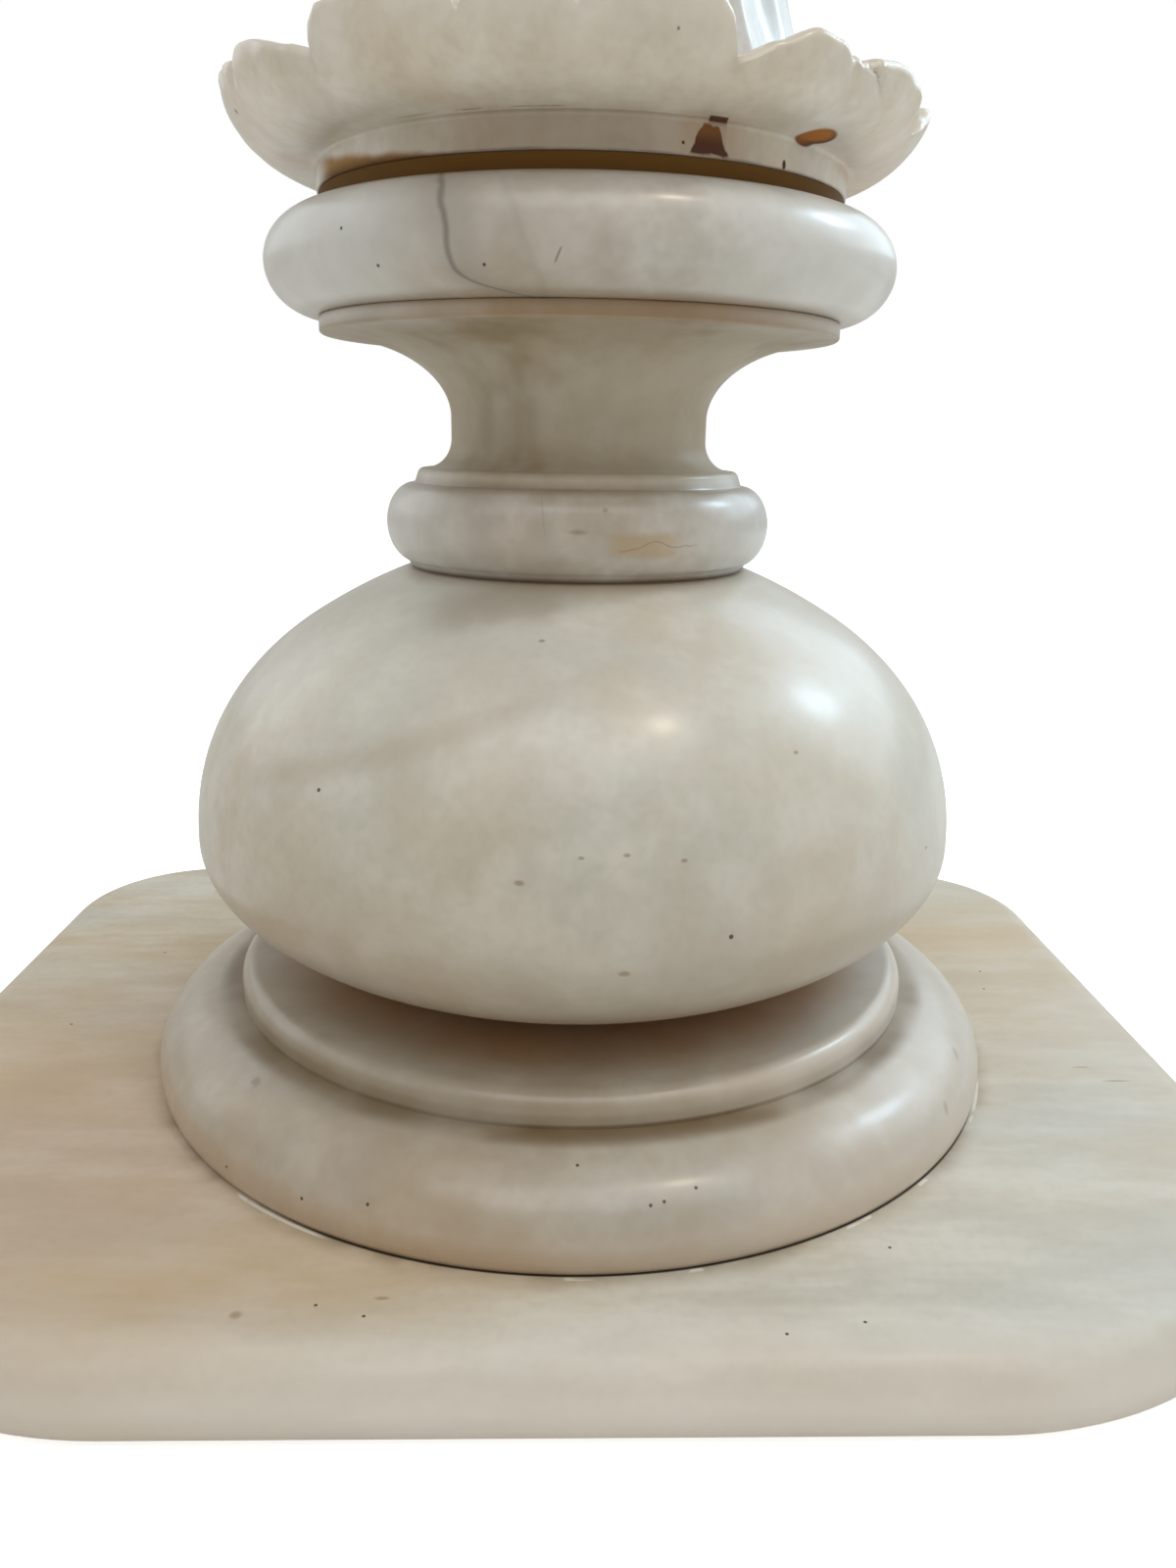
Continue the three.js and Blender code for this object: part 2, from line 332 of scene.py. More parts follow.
def bowl_radius(azimuth, height):
    """The outside of the bowl before its carving, a little narrower on the right."""
    below = max(0.0, CUP_SHOULDER - height) / (CUP_SHOULDER - foot_top(azimuth))
    out = max(0.0, 1 - min(1.0, below) ** CUP_ROUND) ** (1 / CUP_ROUND)
    lip = CUP_LIP - CUP_NARROW * max(0.0, math.sin(math.radians(azimuth))) ** 2
    return CUP_FOOT + CUP_FOOT_STEP + (lip - CUP_FOOT - CUP_FOOT_STEP) * out


def leaf_relief(azimuth, height, rim):
    """How far the carving moves the leaf's outside in or out."""
    leaf, along, width = leaf_at(azimuth)
    under = rim - height
    carving = 0.0
    for angle, slant, depth, reach in leaf["creases"]:
        off = along - angle - slant * under
        fade = max(0.0, 1 - under / reach)
        carving -= depth * fade * math.exp(-(off / CREASE_WIDTH) ** 2)
    near_rim = max(0.0, 1 - under / CARVING_REACH)
    notch = math.exp(-along / NOTCH_WIDTH) + math.exp(-(width - along) / NOTCH_WIDTH)
    swell = math.sin(math.pi * along / width)
    flute = math.sin(math.radians(along * 47)) * (0.6 + 0.4 * math.sin(math.radians(along * 19 + 40)))
    carving += near_rim * (LEAF_SWELL * swell - NOTCH_DEPTH * notch)
    return carving + LEAF_FLUTE * flute * near_rim ** 1.3


def cup_place(azimuth, row):
    """Radius and height of a row: up the foot and the bowl, over the rim and down the inside."""
    rim = leaf_rim(azimuth)
    top = foot_top(azimuth)
    if row < CUP_FOOT_ROWS:
        return [
            (CUP_FOOT - 0.5, 0), (CUP_FOOT - 0.1, 0.15), (CUP_FOOT, 0.6),
            (CUP_FOOT, top - 0.9), (CUP_FOOT + 0.12, top - 0.3),
        ][row]
    row -= CUP_FOOT_ROWS
    shoulder = rim - RIM_ROUND
    if row < CUP_BOWL_ROWS:
        height = top + (shoulder - top) * (row / (CUP_BOWL_ROWS - 1)) ** 1.7
        return bowl_radius(azimuth, height) + leaf_relief(azimuth, height, rim), height
    row -= CUP_BOWL_ROWS
    lip = bowl_radius(azimuth, shoulder) + leaf_relief(azimuth, shoulder, rim)
    wall = min(LEAF_EDGE + (LEAF_TIP - rim) * LEAF_TAPER, lip - CUP_FLOOR_RADIUS - 1)
    if row < CUP_RIM_ROWS:
        turn = math.radians(180 * (row + 1) / (CUP_RIM_ROWS + 1))
        over = math.copysign(abs(math.cos(turn)) ** 0.6, math.cos(turn))
        return lip - wall / 2 + wall / 2 * over, shoulder + RIM_ROUND * math.sin(turn) ** 0.7
    row -= CUP_RIM_ROWS
    share = (row + 1) / CUP_INSIDE_ROWS
    radius = lip - wall + (CUP_FLOOR_RADIUS - lip + wall) * share ** 1.4
    height = shoulder + (CUP_FLOOR - shoulder) * math.sin(share * math.pi / 2)
    return radius, height


def leaf_cup_place(azimuth, row):
    """A row of the cup at its place on the stem."""
    radius, height = cup_place(azimuth, row)
    return radius, height + Z_CUP


# Shaft: flared foot, slight taper, shallow flutes that end below a plain neck
SHAFT_LENGTH = Z_CAPITAL - Z_SHAFT
SHAFT_RADIUS = 36
SHAFT_NECK_RADIUS = 33.4
SHAFT_FLARE = 17.5
SHAFT_FLARE_HEIGHT = 24
SHAFT_PLAIN_NECK = 26
SHAFT_FLUTES = 18
SHAFT_FLUTE_DEPTH = 1.8
SHAFT_FLUTE_START = 3
SHAFT_FLUTE_LOW_END = 16
SHAFT_FLUTE_HIGH_END = 18
SHAFT_SIDES = SHAFT_FLUTES * 16
SHAFT_LEVELS = (
    [i * 2.5 for i in range(17)] + [40 + i * 17 for i in range(1, 20)]
    + [374 + i * 2.2 for i in range(1, 22)] + [430, 438, SHAFT_LENGTH]
)


def shaft_place(azimuth, row):
    """Radius and height of a row of the shaft; each flute ends in a round at both ends."""
    height = SHAFT_LEVELS[row]
    taper = SHAFT_RADIUS + (SHAFT_NECK_RADIUS - SHAFT_RADIUS) * height / SHAFT_LENGTH
    round_radius = taper + SHAFT_FLARE * math.exp(-height / SHAFT_FLARE_HEIGHT)
    flutes_end = SHAFT_LENGTH - SHAFT_PLAIN_NECK
    low_end = max(0.0, min(1.0, (height - SHAFT_FLUTE_START) / SHAFT_FLUTE_LOW_END))
    high_end = max(0.0, min(1.0, (flutes_end - height) / SHAFT_FLUTE_HIGH_END))
    ends = math.sqrt(low_end * (2 - low_end)), math.sqrt(high_end * (2 - high_end))
    depth = SHAFT_FLUTE_DEPTH * ends[0] * ends[1]
    wave = abs(math.sin(math.radians(SHAFT_FLUTES * azimuth / 2)))
    return round_radius - depth * wave ** 1.3, Z_SHAFT + height


# Materials

class Value:
    """A socket of a finish; sums on it add Math nodes."""

    def __init__(self, finish, socket):
        self.finish = finish
        self.socket = socket

    def math(self, operation, *others):
        inputs = dict(enumerate((self,) + others))
        return self.finish.node("ShaderNodeMath", {"operation": operation}, inputs)

    def __add__(self, other):
        return self.math("ADD", other)

    def __sub__(self, other):
        return self.math("SUBTRACT", other)

    def __mul__(self, other):
        return self.math("MULTIPLY", other)

    def __truediv__(self, other):
        return self.math("DIVIDE", other)

    def __rsub__(self, other):
        return self.finish.node("ShaderNodeMath", {"operation": "SUBTRACT"}, {0: other, 1: self})

    __radd__ = __add__
    __rmul__ = __mul__

    def __abs__(self):
        return self.math("ABSOLUTE")


def tint(code):
    """A colour from its six-digit code, as the shader's linear light."""
    channels = [int(code[i:i + 2], 16) / 255 for i in (0, 2, 4)]
    linear = [c / 12.92 if c <= 0.04045 else ((c + 0.055) / 1.055) ** 2.4 for c in channels]
    return (*linear, 1)


class Finish:
    """The nodes of one stone finish."""

    def __init__(self, name):
        self.material = bpy.data.materials.new(name)
        self.material.use_nodes = True
        self.tree = self.material.node_tree
        self.tree.nodes.clear()
        self.place = self.vector("SUBTRACT", self.node("ShaderNodeTexCoord", {}, {}, "Object"), STACK_AT)
        parts = self.node("ShaderNodeSeparateXYZ", {}, {0: self.place}, None)
        self.x, self.y, self.z = (Value(self, socket) for socket in parts.outputs)
        flat = self.vector("MULTIPLY", self.place, (1, 1, 0))
        self.radius = self.vector("LENGTH", flat, output="Value")
        self.azimuth = self.x.math("ARCTAN2", self.y * -1)

    def node(self, kind, settings, inputs, output=0):
        """Any node: its type, its settings, then the values or links of its sockets."""
        made = self.tree.nodes.new(kind)
        for key, value in settings.items():
            setattr(made, key, value)
        for key, value in inputs.items():
            if isinstance(value, Value):
                self.tree.links.new(value.socket, made.inputs[key])
            else:
                made.inputs[key].default_value = value
        return made if output is None else Value(self, made.outputs[output])

    def vector(self, operation, *inputs, output="Vector"):
        return self.node(
            "ShaderNodeVectorMath", {"operation": operation}, dict(enumerate(inputs)), output
        )

    def mix(self, factor, first, second):
        """The first colour passing to the second."""
        return self.node(
            "ShaderNodeMix", {"data_type": "RGBA"}, {0: factor, 6: first, 7: second}, 2
        )

    def rise(self, value, low, high):
        """0 below low, 1 above high, eased between."""
        return self.node(
            "ShaderNodeMapRange", {"interpolation_type": "SMOOTHSTEP"}, {0: value, 1: low, 2: high}
        )

    def fall(self, value, low, high):
        """1 below low, 0 above high, eased between."""
        return 1 - self.rise(value, low, high)

    def near(self, value, middle, reach, soft=0.5):
        """1 where a value is within reach of its middle, fading over the soft share."""
        return self.fall(abs(value - middle), reach * (1 - soft), reach * (1 + soft))

    def noise(self, scale, seed, detail=2.0, rough=0.5, stretch=(1, 1, 1), turn=0.0):
        """Cloudy noise from 0 to 1, about one cloud to each 1/scale metres."""
        shift = (seed * 0.37, seed * 0.71, seed * 0.53)
        moved = self.node(
            "ShaderNodeMapping", {}, {0: self.place, 1: shift, 2: (0, 0, turn), 3: stretch}
        )
        return self.node(
            "ShaderNodeTexNoise", {"noise_dimensions": "3D"},
            {"Vector": moved, "Scale": scale, "Detail": detail, "Roughness": rough},
        )

    def ragged(self, scale, seed, much):
        """A small uneven amount either side of nothing, to break up an outline."""
        return (self.noise(scale, seed) - 0.5) * much

    def spot(self, centre, size, soft=0.35, ragged=None):
        """1 inside a ball of the given half sizes about a place, in millimetres."""
        off = self.vector("SUBTRACT", self.place, tuple(c * MM for c in centre))
        off = self.vector("MULTIPLY", off, tuple(1 / (s * MM) for s in size))
        far = self.vector("LENGTH", off, output="Value")
        if ragged:
            far = far + ragged
        return self.fall(far, 1 - soft, 1 + soft)

    def any_of(self, masks):
        """The strongest of several masks."""
        joined = masks[0]
        for mask in masks[1:]:
            joined = joined.math("MAXIMUM", mask)
        return joined

    def pits(self, cells, share, size, seed):
        """Sparse small holes: one in some of the cells of this many to the metre."""
        place = self.vector("ADD", self.place, (seed, seed * 0.7, seed * 0.3))
        cell = self.node("ShaderNodeTexVoronoi", {}, {"Vector": place, "Scale": cells}, None)
        chance = self.node("ShaderNodeSeparateColor", {}, {0: Value(self, cell.outputs["Color"])}, None)
        chosen = self.rise(Value(self, chance.outputs[0]), 1 - share - 0.001, 1 - share)
        reach = size * MM * cells
        spread = 0.45 + Value(self, chance.outputs[1])
        inside = self.fall(Value(self, cell.outputs["Distance"]) / spread, reach * 0.5, reach)
        return inside * chosen

    def finish(self, colour, rough, bump, coat):
        """The shader itself."""
        relief = self.node(
            "ShaderNodeBump", {}, {"Strength": 1.0, "Distance": 0.0006, "Height": bump}, "Normal"
        )
        shader = self.node(
            "ShaderNodeBsdfPrincipled", {},
            {"Base Color": colour, "Roughness": rough, "Normal": relief, "IOR": 1.5,
             "Coat Weight": coat, "Coat Roughness": 0.2},
            "BSDF",
        )
        self.node("ShaderNodeOutputMaterial", {}, {"Surface": shader}, None)
        return self.material


def alabaster(stone, tones, seed, scale, stretch=(1, 1, 1), turn=0.0):
    """Clouds of tones, pale and dull mottling, and fine grain."""
    body, warm, cool, pale, dull = (tint(code) for code in tones)
    wide = stone.noise(scale, seed, 2, 0.6, stretch, turn)
    colour = stone.mix(stone.rise(wide, 0.34, 0.68), body, warm)
    mid = stone.noise(scale * 2.3, seed + 3, 2, 0.6, stretch, turn)
    colour = stone.mix(stone.rise(mid, 0.36, 0.7) * 0.85, colour, cool)
    mottle = stone.noise(scale * 6.5, seed + 7, 3, 0.62, stretch, turn)
    colour = stone.mix(stone.rise(mottle, 0.42, 0.72) * 0.62, colour, pale)
    colour = stone.mix(stone.fall(mottle, 0.26, 0.5) * 0.38, colour, dull)
    grain = stone.noise(430, seed + 17, 1, 0.6)
    return stone.mix(stone.rise(grain, 0.4, 0.75) * 0.09, colour, GRAIN)


# Tones of a stone: body, warm cloud, cool cloud, pale mottle, dull mottle
CREAM = ("cbc7b8", "c9bda7", "c7c9c0", "dddbd1", "bfb4a1")
DULL_CREAM = ("bcb3a3", "b5a48c", "b5b2a8", "d0cbc0", "a6967f")
BANDED = ("cec6b5", "c9b79a", "c6c5bb", "e0dcd1", "b8aa94")
VEINED = ("c9c3b8", "beae9a", "c2c1bc", "e0ded9", "a69b8e")
LEAF = ("ded5c5", "d8cab3", "d8d4c9", "efece4", "c6b8a3")
WHITE = ("d0d1cf", "cccac4", "c4c9cb", "e8e9e8", "aeb2b3")
GRAIN = tint("8f8676")
GROOVE_DIRT_AND_SHADE = tint("66502f")
JOINT_DIRT = tint("5f3d14")
DARK = tint("1e1006")
PIT = tint("2a2118")
GLUE = tint("efece4")


def surface(stone, colour, pits, seed, rough=0.34, coat=0.42, stains=None):
    """Pits, wear in the polish, stains without a polish, and the shader."""
    colour = stone.mix(pits * 0.9, colour, PIT)
    worn = stone.noise(38, seed + 23, 1, 0.6)
    gloss = rough + (worn - 0.5) * 0.12 + pits * 0.4
    if stains:
        gloss = gloss + stains * 0.5
        coat = coat - stains * coat
    waves = stone.noise(26, seed + 29, 1, 0.4) * 0.2
    return stone.finish(colour, gloss, waves, coat)


def plinth_finish():
    stone = Finish("banded_alabaster")
    across, lean = (0.45, 1.4, 1.4), 0.06
    colour = alabaster(stone, BANDED, 2.0, 9.0, across, lean)
    streak = stone.noise(26, 5.0, 4, 0.65, (0.3, 2.0, 2.0), lean)
    colour = stone.mix(stone.rise(streak, 0.48, 0.7) * 0.25, colour, tint("b5a488"))
    colour = stone.mix(stone.fall(streak, 0.32, 0.46) * 0.35, colour, tint("e2dfd4"))
    # Painted window light: the plinth paler and cooler towards the right.
    colour = stone.mix(stone.rise(stone.x, 0.03, 0.14) * 0.4, colour, tint("cdd0cb"))
    pinkish = stone.spot((-125, -70, 18), (75, 70, 60), 0.8)
    colour = stone.mix(pinkish * 0.45, colour, tint("c0a48c"))
    # Painted light: the front band of the plinth is lightened, and its rolled edge more, to take away the
    # shade it gets.
    lip = stone.fall(stone.y, -0.118, -0.105)
    colour = stone.mix(lip * 0.35, colour, tint("ece8e0"))
    painted_light_on_roll = stone.fall(stone.z, 0.0095, 0.0165) * lip
    colour = stone.mix(painted_light_on_roll * 0.5, colour, tint("f2efe9"))
    patchy = stone.rise(stone.noise(17, 6.0, 4, 0.65, (0.7, 1.3, 1.3), lean), 0.4, 0.64)
    clouds = stone.any_of([
        stone.spot((-116, 14, 18), (50, 46, 40), 0.9),
        stone.spot((-72, -100, 18), (50, 18, 40), 0.9),
        stone.spot((126, 60, 18), (40, 50, 40), 0.9),
    ])
    colour = stone.mix(clouds * (0.35 + patchy * 0.65) * 0.42, colour, tint("c9a973"))
    uneven = stone.noise(70, 8.0, 3, 0.6)
    # Painted shade: uneven olive darkening on the plinth round the foot of the base ring.
    painted_ring_shade = stone.near(stone.radius, 0.0995, 0.0026, 0.95)
    colour = stone.mix(painted_ring_shade * (0.12 + stone.rise(uneven, 0.4, 0.62) * 0.35), colour, tint("857250"))
    crack = stone.near(stone.radius, 0.0993, 0.0003, 0.6) * stone.near(stone.azimuth, 0.42, 1.0, 0.15)
    colour = stone.mix(crack * 0.9, colour, DARK)
    bits = stone.rise(stone.noise(90, 12.0, 1), 0.62, 0.66)
    lumps = stone.any_of([
        stone.near(stone.azimuth, -0.6, 0.1, 0.3), stone.near(stone.azimuth, 1.2, 0.07, 0.3), bits
    ])
    crumbs = stone.near(stone.radius, 0.1001, 0.0004, 0.5) * lumps
    colour = stone.mix(crumbs * 0.75, colour, GLUE)
    smudges = stone.any_of([
        stone.spot((-58.6, -109.1, 18), (1.0, 0.9, 3), 0.6),
        stone.spot((-34.2, -105, 18), (1.2, 0.4, 3), 0.6),
        stone.spot((123.4, -23.2, 18), (2.0, 0.3, 3), 0.6),
        stone.spot((129.1, -29.7, 18), (3.0, 0.3, 3), 0.6),
    ])
    colour = stone.mix(smudges * 0.55, colour, tint("8b6a48"))
    holes = [
        (-116.9, 42.5), (-126.7, -2.2), (-45.4, -106.7), (-36.7, -109.5), (35.3, -114.2),
        (49.3, -111.4), (117.1, 31.9), (114.3, 20.4), (58.8, -91.4),
    ]
    placed = [stone.spot((x, y, 18), (0.32, 0.32, 0.9), 0.3) for x, y in holes]
    pits = stone.any_of(placed + [stone.pits(42, 0.14, 0.32, 3.0)])
    return surface(stone, colour, pits, 2.0, 0.5, 0.08)


def ring_finish():
    stone = Finish("cream_alabaster_ring")
    colour = alabaster(stone, DULL_CREAM, 21.0, 11.0)
    # Painted light and shade: the ring darker on the left and paler on the right, where the window light
    # falls.
    colour = stone.mix(stone.fall(stone.x, -0.02, 0.03) * 0.3, colour, tint("a99a84"))
    colour = stone.mix(stone.rise(stone.x, 0.0, 0.07) * 0.5, colour, tint("d6d2cb"))
    low = stone.fall(stone.z, 0.0185, 0.03)
    colour = stone.mix(low * 0.45, colour, tint("d6ba9d"))
    uneven = stone.rise(stone.noise(40, 22.0), 0.35, 0.65)
    wall = stone.rise(stone.z, 0.0364, 0.0374) * stone.rise(stone.radius, 0.0765, 0.0795)
    colour = stone.mix(wall * 0.2, colour, tint("9c8a6c"))
    # Painted window light on the right of the disc's round and of the low band.
    painted_light_right = stone.any_of([wall, low]) * stone.rise(stone.x, 0.01, 0.045)
    colour = stone.mix(painted_light_right * 0.45, colour, tint("e3dace"))
    # Brown dirt in the groove under the disc, darkened further as painted shade.
    groove = stone.near(stone.z, 0.0364, 0.0006, 0.6) * stone.rise(stone.radius, 0.0785, 0.0797)
    colour = stone.mix(groove * (0.3 + uneven * 0.5), colour, GROOVE_DIRT_AND_SHADE)
    # Dirt spreading from the groove, with painted shade that is stronger on the left.
    spread = stone.fall(stone.radius, 0.0808, 0.0856) * stone.rise(stone.radius, 0.0795, 0.0805)
    left = stone.fall(stone.x, -0.055, -0.01)
    colour = stone.mix(spread * (0.12 + left * 0.3 + uneven * 0.15), colour, tint("7f6a3f"))
    # Painted shade: a brown tint on the disc's top where the ball's shadow lies.
    painted_shade_under_ball = stone.fall(stone.radius, 0.058, 0.077) * stone.rise(stone.z, 0.0418, 0.0428)
    colour = stone.mix(painted_shade_under_ball * (0.5 + uneven * 0.2), colour, tint("c08b56"))
    joint = stone.fall(stone.z, 0.0181, 0.0184)
    colour = stone.mix(joint * (0.2 + stone.near(stone.azimuth, 0.42, 1.0, 0.15) * 0.6), colour, DARK)
    stain = stone.spot((-65.5, -60.3, 34.8), (1.0, 1.4, 1.6), 0.5, stone.ragged(500, 25.0, 1.6))
    colour = stone.mix(stain * 0.6, colour, tint("8a7a66"))
    streaks = stone.any_of([
        stone.spot((85.7, -41.3, 31.4), (0.6, 1.8, 1.3), 0.7),
        stone.spot((78.4, -58.9, 28.2), (0.6, 1.3, 1.5), 0.7),
    ])
    colour = stone.mix(streaks * 0.4, colour, tint("97725a"))
    holes = [
        (-51.8, -85.2, 24.4), (-69.4, -71.9, 22.5), (-38.5, -90.9, 27.1), (0, -89.7, 34.5),
        (13.2, -95.6, 30.1), (15.7, -94.9, 30.4), (21.7, -92.4, 31.6),
    ]
    placed = [stone.spot(at, (0.33, 0.33, 0.33), 0.3) for at in holes]
    pits = stone.any_of(placed + [stone.pits(48, 0.1, 0.3, 5.0)])
    return surface(stone, colour, pits, 21.0)


def ball_finish():
    stone = Finish("cream_alabaster_ball")
    colour = alabaster(stone, CREAM, 41.0, 10.0)
    slant = stone.z - 0.1035 - (stone.x + 0.045) * 0.37 + stone.ragged(24, 43.0, 0.012)
    along = stone.near(stone.x, -0.034, 0.03, 0.4) * stone.fall(stone.y, -0.02, 0.0)
    colour = stone.mix(stone.near(slant, 0.0, 0.002, 0.95) * along * 0.3, colour, tint("9f8a68"))
    smear = stone.spot((-18, -42, 131), (15, 7, 4.5), 0.8, stone.ragged(70, 44.0, 1.6))
    colour = stone.mix(smear * 0.6, colour, tint("8a7654"))
    # Painted light: the ball paler towards its top, lit from above, and paler and cooler on the right,
    # where the window light falls.
    colour = stone.mix(stone.rise(stone.z, 0.085, 0.125) * 0.25, colour, tint("e4e6e2"))
    colour = stone.mix(stone.rise(stone.x, 0.005, 0.06) * 0.4, colour, tint("d8dad3"))
    # Brown dirt round the joint with the stem, and painted shade under the collar that overhangs it.
    colour = stone.mix(stone.rise(stone.z, 0.1325, 0.1347) * 0.35, colour, tint("876534"))
    colour = stone.mix(stone.rise(stone.z, 0.1343, 0.1348) * 0.7, colour, JOINT_DIRT)
    # Painted shade: the ball darker and warmer towards the bottom.
    colour = stone.mix(stone.fall(stone.z, 0.048, 0.1) * 0.5, colour, tint("a8927c"))
    spots = [
        (-7.4, -55.7, 125.9, 0.4), (8, -84.7, 93.1, 0.4), (0, -85.2, 92.7, 0.35),
        (18.2, -83.5, 91.8, 0.4), (-10.8, -85.8, 88.2, 0.6), (7.9, -87, 71.6, 0.7),
        (40.2, -66.6, 107.3, 0.4), (71.8, -49.7, 83, 0.4),
    ]
    freckles = [stone.spot((x, y, z), (s * 1.5, s * 1.5, s * 0.8), 0.5) for x, y, z, s in spots]
    colour = stone.mix(stone.any_of(freckles) * 0.6, colour, tint("8b6e4c"))
    holes = [(-48.7, -66.7, 99.3, 0.4), (27.2, -83.4, 77.3, 0.45), (24.2, -36.6, 131.6, 0.35)]
    placed = [stone.spot((x, y, z), (s, s, s), 0.3) for x, y, z, s in holes]
    pits = stone.any_of(placed + [stone.pits(30, 0.06, 0.3, 7.0)])
    return surface(stone, colour, pits, 41.0)


def stem_finish(name, seed, base, marked):
    """The stem's stone by height above its underside, with painted shade in its hollow and painted light
    on its sides, with or without the marks of the lower one.
    """
    stone = Finish(name)
    colour = alabaster(stone, VEINED, seed, 12.0)
    height = stone.z - base * MM
    upright = stone.noise(40, seed + 2, 3, 0.6, (1, 1, 0.16))
    # Dirt and painted shade darken the hollow; the upright streaks and pale patches below are the stone's
    # veins.
    hollow = stone.rise(height, 0.0185, 0.023) * stone.fall(height, 0.0475, 0.051)
    colour = stone.mix(hollow * 0.5, colour, tint("a5936d"))
    colour = stone.mix(hollow * stone.rise(upright, 0.5, 0.66) * 0.4, colour, tint("7d6842"))
    colour = stone.mix(hollow * stone.fall(upright, 0.34, 0.5) * 0.35, colour, tint("c0b8a8"))
    # Painted light: both sides of the stem paler and cooler, as lit from the left and right.
    sides = stone.rise(abs(stone.x), 0.012, 0.044)
    colour = stone.mix(sides * (1 - hollow) * 0.6, colour, tint("dfe3e3"))
    collar = stone.fall(height, 0.016, 0.0185)
    colour = stone.mix(collar * stone.rise(upright, 0.46, 0.62) * 0.3, colour, tint("aaa59e"))
    # Painted shade under the fillet at the top of the hollow.
    under = stone.rise(height, 0.042, 0.0485) * stone.fall(height, 0.0486, 0.0496)
    colour = stone.mix(under * 0.4, colour, tint("7d6740"))
    seams = stone.any_of([
        stone.near(height, 0.0519, 0.0008, 0.9), stone.near(height, 0.0182, 0.001, 0.8)
    ])
    colour = stone.mix(seams * 0.45, colour, tint("7a5a2c"))
    fillet = stone.near(height, 0.0198, 0.0014, 0.5)
    colour = stone.mix(fillet * 0.3, colour, tint("b8a684"))
    rim = stone.rise(height, 0.0485, 0.0492) * stone.fall(height, 0.0515, 0.0522)
    rim = rim * (0.25 + stone.near(stone.x, 0.008, 0.03, 0.8) * 0.45)
    colour = stone.mix(rim, colour, tint("9a7440"))
    foot = stone.fall(height, -0.0002, 0.0012)
    colour = stone.mix(foot * 0.7, colour, JOINT_DIRT)
    glued = stone.rise(height, 0.0722, 0.0728)
    pits = stone.pits(50, 0.08, 0.3, seed)
    if marked:
        colour = stem_marks(stone, colour, height, seed)
        specks = [(-43.2, -51.1, 198.1), (-36.5, -54.2, 191.7), (-17.4, -62.6, 191.2)]
        pits = stone.any_of([pits] + [stone.spot(at, (0.3, 0.4, 0.3), 0.4) for at in specks])
    colour = stone.mix(glued, colour, tint("6b4808"))
    return surface(stone, colour, pits, seed, stains=stone.any_of([glued, hollow * 0.6]))


def stem_marks(stone, colour, height, seed):
    """The grey veins and scratches of the lower stem, and what a paper label left on its collar."""
    ring = stone.rise(height, 0.0505, 0.052) * stone.fall(stone.y, -0.035, -0.025)
    bend = ((height - 0.0522) * -660).math("EXPONENT") * 0.011
    wander = stone.ragged(90, seed + 5, 0.0035)
    path = stone.x + 0.0248 - (0.068 - height) * 0.13 - bend + wander
    colour = stone.mix(stone.near(stone.x, -0.016, 0.016, 0.8) * ring * 0.4, colour, tint("a39684"))
    colour = stone.mix(stone.near(path, 0.0008, 0.0034, 0.95) * ring * 0.35, colour, tint("938e86"))
    colour = stone.mix(stone.near(path, 0.0, 0.0005, 0.95) * ring * 0.6, colour, tint("625d57"))
    branch = stone.x + 0.0105 + (height - 0.06) * 0.42 + wander
    colour = stone.mix(stone.near(branch, 0.0, 0.0008, 0.95) * ring * 0.16, colour, tint("7d776e"))
    scratch = stone.near(stone.x + 0.0049 - (height - 0.0576) * 0.45, 0.0, 0.0002, 0.5)
    scratch = scratch * stone.near(height, 0.0576, 0.0011, 0.3)
    colour = stone.mix(scratch * ring * 0.6, colour, tint("6a4b30"))
    front = stone.fall(stone.y, -0.03, -0.02)
    crack = stone.near(stone.x + 0.0075 - (0.0133 - height) * 0.11, 0.0, 0.0002, 0.7)
    crack = crack * stone.near(height, 0.0135, 0.0035, 0.4)
    colour = stone.mix(crack * front * 0.18, colour, tint("7c7160"))
    dots = stone.any_of([
        stone.spot((4.7, -41.7, 149.5), (0.5, 0.9, 0.45), 0.4),
        stone.spot((-0.6, -43, 145.3), (1.6, 1, 0.45), 0.7),
    ])
    colour = stone.mix(dots * 0.5, colour, tint("77705f"))
    soft = stone.ragged(170, seed + 6, 0.7)
    paper = stone.fall(abs(stone.azimuth - 0.3) / 0.18 + soft, 0.65, 1.3)
    paper = paper * stone.fall(abs(stone.z - 0.1426) / 0.0025 + soft, 0.6, 1.25) * front
    colour = stone.mix(paper * 0.52, colour, tint("b4945c"))
    wave = (stone.azimuth * 21).math("SINE") * 0.0008 + stone.ragged(130, seed + 9, 0.0035)
    stroke = stone.near(stone.z - 0.1424 - wave, 0.0, 0.00013, 0.8)
    stroke = stroke * stone.near(stone.azimuth, 0.38, 0.19, 0.2)
    return stone.mix(stroke * front * 0.5, colour, tint("8f6a3c"))


